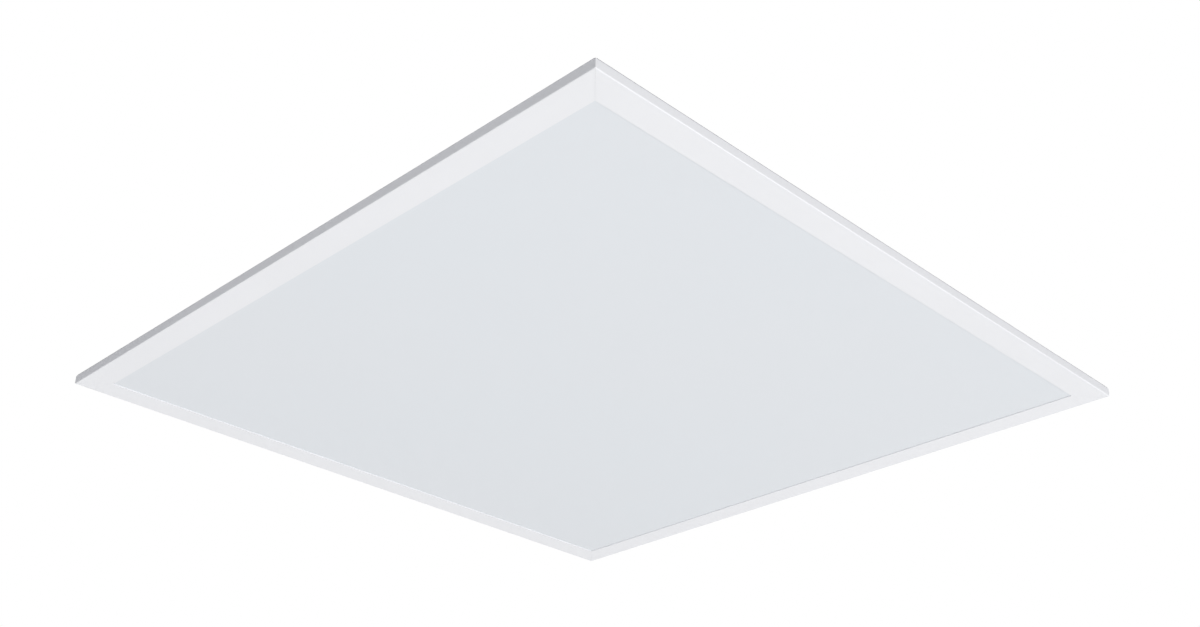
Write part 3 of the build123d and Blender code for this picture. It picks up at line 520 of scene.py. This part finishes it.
# light guide: clear plate with a printed dot grid
guidePlate = {
    "pitch": 0.0018, "dotSize": 0.28, "dotEdge": 0.05, "dotHeight": 0.00002,
    "clear": (0.92, 0.96, 0.96), "dot": (0.9, 0.9, 0.9), "gloss": 0.05, "inkRoughness": 0.7,
    "shader": {"Transmission Weight": 0.85, "IOR": 1.49},
}


def dottedGuide(name, look):
    material, tree, shader, coords = startFinish(name)
    dots = addNode(tree, "ShaderNodeTexVoronoi", feature="F1", voronoi_dimensions="2D")
    setInputs(dots, Scale=1.0 / look["pitch"], Randomness=0.0)
    join(tree, coords, dots.inputs["Vector"])
    size = look["dotSize"]
    mask = spread(tree, dots.outputs["Distance"], 1.0, 0.0, size, size + look["dotEdge"])
    join(tree, mixColours(tree, mask, look["clear"], look["dot"]), shader.inputs["Base Color"])
    join(tree, spread(tree, mask, look["gloss"], look["inkRoughness"]), shader.inputs["Roughness"])
    bumpFrom(tree, shader, mask, look["dotHeight"])
    setInputs(shader, **look["shader"])
    return material


dress(dottedGuide("dottedAcrylic", guidePlate), "light_guide_plate")

# light strips: white boards, packages with a phosphor window
ledStrip = {
    "pitch": 0.0078, "count": 72, "window": (0.0013, 0.0005), "recess": 0.00008,
    "body": (0.80, 0.80, 0.78), "phosphor": (0.78, 0.52, 0.05), "speck": (0.66, 0.40, 0.03),
}


def ledFinish(name, look):
    material, tree, shader, coords = startFinish(name)
    place = splitAxes(tree, coords)
    low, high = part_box("leds_left")
    # distance along the strip from the nearest package's middle, and up from its centre line
    shifted = plus(tree, place["Y"], look["pitch"] * look["count"] / 2)
    along = mathNode(tree, "PINGPONG", shifted, look["pitch"] / 2)
    fromMiddle = mathNode(tree, "SUBTRACT", look["pitch"] / 2, along)
    up = mathNode(tree, "ABSOLUTE", mathNode(tree, "SUBTRACT", place["Z"], (low.z + high.z) / 2))
    wide, tall = look["window"]
    insideWide = mathNode(tree, "LESS_THAN", fromMiddle, wide)
    inside = times(tree, insideWide, mathNode(tree, "LESS_THAN", up, tall))
    speck = placeGrain(tree, coords, 9000.0, 900.0).outputs["Grain"]
    phosphor = mixColours(tree, speck, look["phosphor"], look["speck"])
    join(tree, mixColours(tree, inside, look["body"], phosphor), shader.inputs["Base Color"])
    join(tree, spread(tree, inside, 0.35, 0.15), shader.inputs["Roughness"])
    height = mathNode(tree, "SUBTRACT", times(tree, speck, 0.2), inside)
    bumpFrom(tree, shader, height, look["recess"])
    return material


dress(ledFinish("ledPackages", ledStrip), "leds_left", "leds_right")

# printed boards: solder mask over copper tracks, bare pads
driverBoard = {
    "mask": (0.010, 0.115, 0.045), "track": (0.016, 0.175, 0.065), "pad": (0.72, 0.68, 0.60),
    "pitch": 380.0, "padSize": 0.16, "trackPitch": 0.55, "relief": 0.00003,
}
stripBoard = dict(
    driverBoard, mask=(0.74, 0.75, 0.74), track=(0.68, 0.69, 0.68), pad=(0.75, 0.66, 0.45),
    pitch=260.0, padSize=0.12,
)


def boardFinish(name, look):
    material, tree, shader, coords = startFinish(name)
    cells = addNode(tree, "ShaderNodeTexVoronoi", feature="F1", distance="CHEBYCHEV")
    setInputs(cells, Scale=look["pitch"], Randomness=0.85)
    edges = addNode(tree, "ShaderNodeTexVoronoi", feature="DISTANCE_TO_EDGE")
    setInputs(edges, Scale=look["pitch"] * look["trackPitch"], Randomness=0.6)
    join(tree, coords, cells.inputs["Vector"])
    join(tree, coords, edges.inputs["Vector"])
    tracks = spread(tree, edges.outputs["Distance"], 0.0, 1.0, 0.05, 0.08)
    size = look["padSize"]
    pads = spread(tree, cells.outputs["Distance"], 1.0, 0.0, size, size + 0.02)
    masked = mixColours(tree, tracks, look["mask"], look["track"])
    # painted shade in occluded corners and dust on upward faces darken the board
    dustAndShade = placeGroup(tree, dustAndShadeGroup, coords, **boardDust).outputs["Dust"]
    coloured = mixColours(tree, pads, masked, look["pad"])
    join(tree, mixColours(tree, dustAndShade, coloured, dustAndShadeTints["board"]), shader.inputs["Base Color"])
    join(tree, spread(tree, pads, 0.28, 0.4), shader.inputs["Roughness"])
    join(tree, pads, shader.inputs["Metallic"])
    bumpFrom(tree, shader, plus(tree, tracks, pads), look["relief"])
    return material


dress(boardFinish("driverBoardMask", driverBoard), "driver_board")
dress(boardFinish("stripBoardMask", stripBoard), "led_board_left", "led_board_right")

# components on the driver board
ferriteBlock = dict(
    caseMoulding, colour=(0.03, 0.03, 0.033), patchColour=(0.045, 0.045, 0.048),
    roughness=(0.45, 0.6), grainScale=2500.0, grainDepth=0.00005,
)
dress(coatedFinish("sinteredFerrite", ferriteBlock), "transformer_core")

epoxyBody = dict(
    caseMoulding, colour=(0.016, 0.016, 0.018), patchColour=(0.022, 0.022, 0.023),
    roughness=(0.4, 0.5), grainScale=5000.0,
)
dress(coatedFinish("epoxyBody", epoxyBody), "rectifier", "power_transistor")

filmBox = dict(
    caseMoulding, colour=(0.62, 0.36, 0.02), patchColour=(0.56, 0.31, 0.018), roughness=(0.22, 0.32),
)
dress(coatedFinish("filmBox", filmBox), "film_capacitor")

windingTape = {"tape": (0.75, 0.50, 0.03), "shade": (0.60, 0.38, 0.02), "bands": 420.0}
chokeTurns = {"tape": (0.50, 0.19, 0.05), "shade": (0.30, 0.09, 0.02), "bands": 900.0}
canSleeve = {"tape": (0.012, 0.02, 0.05), "shade": (0.02, 0.03, 0.07), "bands": 60.0}


def bandedFinish(name, look):
    material, tree, shader, coords = startFinish(name)
    waves = addNode(tree, "ShaderNodeTexWave", bands_direction="Z")
    setInputs(waves, Scale=look["bands"], Distortion=0.4, Detail=2.0)
    join(tree, coords, waves.inputs["Vector"])
    bands = waves.outputs["Fac"]
    grain = placeGrain(tree, coords, 3000.0, 200.0)
    # painted shade in occluded corners and dust on upward faces darken the winding
    dustAndShade = placeGroup(tree, dustAndShadeGroup, coords, **boardDust).outputs["Dust"]
    turned = mixColours(tree, bands, look["tape"], look["shade"])
    join(tree, mixColours(tree, dustAndShade, turned, dustAndShadeTints["board"]), shader.inputs["Base Color"])
    gloss = spread(tree, grain.outputs["Patches"], 0.22, 0.4, *patchEdges)
    join(tree, gloss, shader.inputs["Roughness"])
    bumpFrom(tree, shader, plus(tree, bands, times(tree, grain.outputs["Grain"], 0.2)), 0.00004)
    return material


dress(bandedFinish("windingTape", windingTape), "transformer_winding")
dress(bandedFinish("chokeTurns", chokeTurns), "line_choke")
dress(bandedFinish("canSleeve", canSleeve), "bulk_capacitor", "output_capacitors")

# cores of the lead: red on one side of the lead's middle, black on the other
leadCores = {"black": (0.013, 0.013, 0.015), "red": (0.5, 0.012, 0.01), "redPatch": (0.4, 0.01, 0.008)}


def coreFinish(name, look):
    material, tree, shader, coords = startFinish(name)
    low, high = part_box("lead_conductors")
    side = mathNode(tree, "GREATER_THAN", splitAxes(tree, coords)["Y"], (low.y + high.y) / 2)
    grain = placeGrain(tree, coords, 2500.0, 150.0)
    red = mixColours(tree, grain.outputs["Patches"], look["red"], look["redPatch"])
    join(tree, mixColours(tree, side, look["black"], red), shader.inputs["Base Color"])
    join(tree, spread(tree, grain.outputs["Grain"], 0.32, 0.48), shader.inputs["Roughness"])
    bumpFrom(tree, shader, grain.outputs["Grain"], 0.00002)
    return material


dress(coreFinish("leadCores", leadCores), "lead_conductors")

# chip parts soldered to the bare board beside the terminals
chipParts = {
    "sizes": ((0.0020, 0.00125, 0.0005), (0.0032, 0.0016, 0.0006), (0.0016, 0.0008, 0.00045)),
    "cap": 0.22, "solder": 0.0004, "climb": 0.7, "pitch": 0.0036, "edge": 0.0025, "rows": 2,
    "bevel": 0.00006,
}
chipBody = dict(
    epoxyBody, colour=(0.028, 0.027, 0.026), patchColour=(0.04, 0.038, 0.036), roughness=(0.3, 0.42),
)
chipCeramic = dict(
    epoxyBody, colour=(0.42, 0.30, 0.17), patchColour=(0.37, 0.26, 0.15), roughness=(0.32, 0.45),
)
tinSolder = dict(
    screwPlate, colour=(0.70, 0.70, 0.69), patchColour=(0.62, 0.62, 0.61), roughness=(0.18, 0.32),
)


def addBlock(shape, middle, size, material, bevel):
    matrix = Matrix.Translation(middle) @ Matrix.Diagonal((*size, 1.0))
    made = bmesh.ops.create_cube(shape, size=1.0, matrix=matrix)
    edges = {edge for corner in made["verts"] for edge in corner.link_edges}
    for face in {face for corner in made["verts"] for face in corner.link_faces}:
        face.material_index = material
    bmesh.ops.bevel(shape, geom=list(edges), offset=bevel, segments=2, affect="EDGES", profile=0.5)


# a wedge of solder that climbs the end of the part
def addSolder(shape, middle, reach, width, height):
    x, y, z = middle
    foot = x + reach
    corners = [
        shape.verts.new((across, y + along, z + up))
        for along in (-width, width)
        for across, up in ((x, 0), (foot, 0), (x, height))
    ]
    for loop in ((0, 1, 2), (5, 4, 3), (0, 3, 4, 1), (1, 4, 5, 2), (2, 5, 3, 0)):
        shape.faces.new([corners[index] for index in loop]).material_index = 2


def addChip(shape, look, place, size, ceramic):
    x, y, top = place
    length, width, height = size
    end = look["cap"] * length
    addBlock(shape, (x, y, top + height / 2), (length - 2 * end, width, height), ceramic, look["bevel"])
    for side in (-1, 1):
        middle = (x + side * (length - end) / 2, y, top + height / 2)
        addBlock(shape, middle, (end, width * 1.02, height * 1.04), 2, look["bevel"])
        foot = (x + side * length / 2, y, top)
        addSolder(shape, foot, side * look["solder"], width / 2, height * look["climb"])


def buildChips(look):
    board, mains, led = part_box("driver_board"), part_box("mains_terminal"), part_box("led_terminal")
    spans = (
        (mains[0].x, mains[1].x, mains[1].y + look["edge"], board[1].y),
        (mains[0].x, mains[1].x, board[0].y + look["edge"], mains[0].y),
        (led[0].x, led[1].x, board[0].y + look["edge"], led[0].y),
    )
    shape = bmesh.new()
    count = 0
    for left, right, near, far in spans:
        for row in range(look["rows"]):
            for column in range(int((right - left) / look["pitch"])):
                count += 1
                if count % 5 == 3:  # an empty place on the board
                    continue
                x = left + (column + 0.5) * look["pitch"]
                y = near + row * (far - near - look["edge"]) / look["rows"]
                addChip(shape, look, (x, y, board[1].z), look["sizes"][count % 3], count % 2)
    bmesh.ops.recalc_face_normals(shape, faces=shape.faces)
    materials = (
        coatedFinish("chipBody", chipBody),
        coatedFinish("chipCeramic", chipCeramic),
        metalFinish("tinSolder", tinSolder),
    )
    piece = pieceFrom("chipParts", shape, *materials)
    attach(piece, "panel")


buildChips(chipParts)

# blank label, with thin ruled boxes and no writing
blankLabel = {
    "silver": (0.46, 0.47, 0.48), "streak": (0.54, 0.55, 0.56), "rule": (0.06, 0.06, 0.07),
    "lineWidth": 0.00035, "inset": 0.003, "rows": (0.0045, -0.0035), "column": 0.012,
    "stretch": (25.0, 2500.0, 800.0), "roughness": (0.28, 0.42), "metal": 0.45, "relief": 0.000004,
}


def labelFinish(name, look):
    material, tree, shader, coords = startFinish(name)
    low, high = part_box("rating_label")
    middle = (low + high) / 2
    place = splitAxes(tree, coords)
    x = mathNode(tree, "SUBTRACT", place["X"], middle.x)
    y = mathNode(tree, "SUBTRACT", place["Y"], middle.y)
    reachX, reachY = (high.x - low.x) / 2 - look["inset"], (high.y - low.y) / 2 - look["inset"]
    halfLine = look["lineWidth"] / 2

    def near(value, line):
        gap = mathNode(tree, "ABSOLUTE", mathNode(tree, "SUBTRACT", value, line))
        return mathNode(tree, "LESS_THAN", gap, halfLine)

    absX, absY = mathNode(tree, "ABSOLUTE", x), mathNode(tree, "ABSOLUTE", y)
    insideX = mathNode(tree, "LESS_THAN", absX, reachX + halfLine)
    insideY = mathNode(tree, "LESS_THAN", absY, reachY + halfLine)
    ruled = mathNode(tree, "MAXIMUM", near(absX, reachX), near(absY, reachY))
    for row in look["rows"]:
        ruled = mathNode(tree, "MAXIMUM", ruled, near(y, row))
    ruled = mathNode(tree, "MAXIMUM", ruled, near(x, look["column"]))
    ruled = times(tree, ruled, times(tree, insideX, insideY))
    lines = placeGroup(tree, brushGroup, coords, Stretch=look["stretch"]).outputs["Lines"]
    silver = mixColours(tree, lines, look["silver"], look["streak"])
    join(tree, mixColours(tree, ruled, silver, look["rule"]), shader.inputs["Base Color"])
    join(tree, spread(tree, lines, *look["roughness"]), shader.inputs["Roughness"])
    join(tree, spread(tree, ruled, look["metal"], 0.0), shader.inputs["Metallic"])
    bumpFrom(tree, shader, lines, look["relief"])
    return material


dress(labelFinish("blankSilverLabel", blankLabel), "rating_label")
print("driver parts dressed")

bare = [
    name for name, piece in nodes.items()
    if any(place.material.name in slotNames for place in piece.material_slots)
]
print("pieces without a finish:", bare)

# pale floor well below, a plain white backdrop and a soft sky
room = {
    "floorDrop": 8.5, "floorSize": 160.0, "floorSquares": 24,
    "floorColour": (0.80, 0.80, 0.79), "floorPatch": (0.77, 0.77, 0.765), "backdrop": 1.0,
    "horizon": (0.214, 0.219, 0.246), "zenith": (0.565, 0.565, 0.575), "zenithFrom": 0.9,
    "sky": {"from": (0.0, 0.5, 1.0), "strength": 1.22, "spread": 1.15},
}


def makeFloor(look):
    shape = bmesh.new()
    squares = look["floorSquares"]
    bmesh.ops.create_grid(shape, x_segments=squares, y_segments=squares, size=look["floorSize"] / 2)
    material, tree, shader, coords = startFinish("floorPaint")
    grain = placeGrain(tree, coords, 60.0, 0.4)
    paint = mixColours(tree, grain.outputs["Patches"], look["floorColour"], look["floorPatch"])
    join(tree, paint, shader.inputs["Base Color"])
    join(tree, spread(tree, grain.outputs["Grain"], 0.7, 0.9), shader.inputs["Roughness"])
    bumpFrom(tree, shader, grain.outputs["Grain"], 0.0005)
    floor = pieceFrom("roomFloor", shape, material)
    floor.location.z = -look["floorDrop"]


makeFloor(room)


def makeSky(look):
    world = bpy.data.worlds.new("studio")
    bpy.context.scene.world = world
    world.use_nodes = True
    tree = world.node_tree
    sky = tree.nodes["Background"]
    direction = splitAxes(tree, addNode(tree, "ShaderNodeTexCoord").outputs["Generated"])
    height = spread(tree, direction["Z"], 0.0, 1.0, 0.0, look["zenithFrom"])
    join(tree, mixColours(tree, height, look["horizon"], look["zenith"]), sky.inputs["Color"])
    white = addNode(tree, "ShaderNodeBackground")
    setInputs(white, Color=(1.0, 1.0, 1.0, 1.0), Strength=look["backdrop"])
    choose = addNode(tree, "ShaderNodeMixShader")
    join(tree, addNode(tree, "ShaderNodeLightPath").outputs["Is Camera Ray"], choose.inputs[0])
    join(tree, sky.outputs[0], choose.inputs[1])
    join(tree, white.outputs[0], choose.inputs[2])
    join(tree, choose.outputs[0], tree.nodes["World Output"].inputs["Surface"])


makeSky(room)

softLights = {
    "keyBelow": {"place": (0.0, -6.35, -5.1), "size": 5.0, "watts": 450.0, "colour": (1.0, 0.996, 0.975)},
    "overhead": {"place": (0.0, 1.4, 2.7), "size": 2.0, "watts": 14.0, "colour": (1.0, 0.995, 0.98)},
}


def hangLight(name, lamp, place):
    holder = bpy.data.objects.new(name, lamp)
    holder.location = place
    holder.rotation_euler = (-Vector(place)).to_track_quat("-Z", "Y").to_euler()
    bpy.context.scene.collection.objects.link(holder)
    return holder


for name, look in softLights.items():
    lamp = bpy.data.lights.new(name, "AREA")
    lamp.shape = "SQUARE"
    lamp.size = look["size"]
    lamp.energy = look["watts"]
    lamp.color = look["colour"]
    hangLight(name, lamp, look["place"]).visible_camera = False

skyLamp = bpy.data.lights.new("softSky", "SUN")
skyLamp.energy = room["sky"]["strength"]
skyLamp.angle = room["sky"]["spread"]
hangLight("softSky", skyLamp, room["sky"]["from"])

viewPoint = {
    "place": (-0.76917, -0.77258, -0.52224),
    "forward": (0.6229512, 0.61968009, 0.47741845),
    "right": (0.70150078, -0.71260395, 0.00960527),
    "lens": 44.547, "sensor": 36.0, "rise": 0.0007, "clip": (0.02, 200.0),
}


def placeCamera(look):
    optics = bpy.data.cameras.new("viewCamera")
    optics.sensor_width = look["sensor"]
    optics.lens = look["lens"]
    optics.shift_y = look["rise"]
    optics.clip_start, optics.clip_end = look["clip"]
    camera = bpy.data.objects.new("viewCamera", optics)
    forward = Vector(look["forward"]).normalized()
    right = Vector(look["right"])
    right = (right - forward * right.dot(forward)).normalized()
    turned = Matrix((right, right.cross(forward), -forward)).transposed().to_4x4()
    camera.matrix_world = Matrix.Translation(look["place"]) @ turned
    bpy.context.scene.collection.objects.link(camera)
    bpy.context.scene.camera = camera


placeCamera(viewPoint)

settings = bpy.context.scene.view_settings
settings.view_transform = "Standard"
settings.look = "None"
settings.exposure = 0.0
settings.gamma = 1.0
print("room, light and camera ready")
